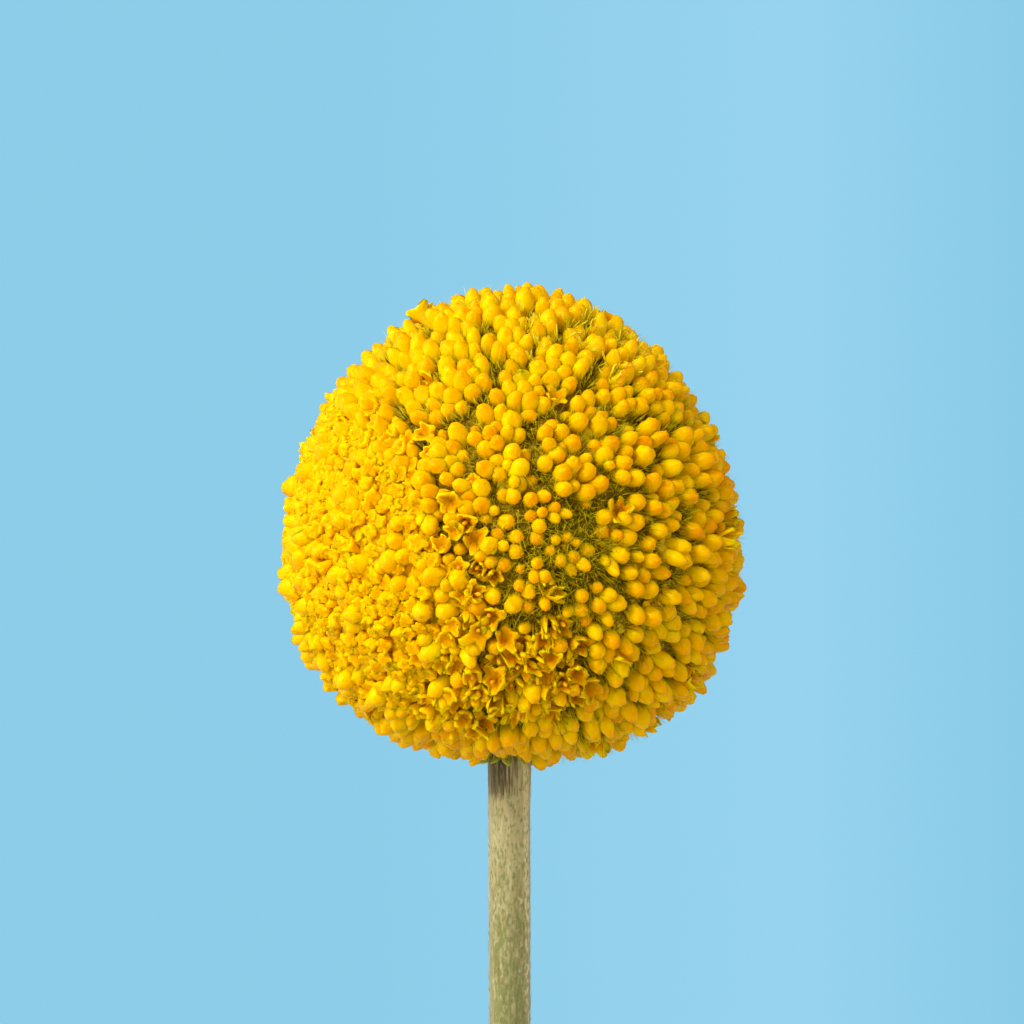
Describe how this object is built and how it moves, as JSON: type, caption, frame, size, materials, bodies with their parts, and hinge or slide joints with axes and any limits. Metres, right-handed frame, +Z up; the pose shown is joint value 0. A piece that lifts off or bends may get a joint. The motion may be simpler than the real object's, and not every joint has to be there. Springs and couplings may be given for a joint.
{
  "type": "craspedia flower head in bottle",
  "caption": "Round yellow craspedia flower head on a straight felted stem, standing in a small round clear-glass bottle of water with a narrow neck and rolled rim.",
  "frame": {"origin": "centre of the bottle's base, on the plane that its foot ring stands on", "axes": "+Z up along the bottle's axis; the front, which the picture shows, faces -Y; +X is to the right"},
  "size_m": [0.04, 0.04, 0.1354],
  "materials": {
    "clear_glass": "clear, polished, moulded",
    "water": "clear liquid",
    "felted_stem": "matt, finely ribbed, thinly felted with pale wool",
    "waxy_florets": "satin, waxy"
  },
  "bodies": {
    "root": {"bottle": "clear_glass", "water": "water", "stem": "felted_stem", "flower_head": "waxy_florets"}
  },
  "joints": []
}
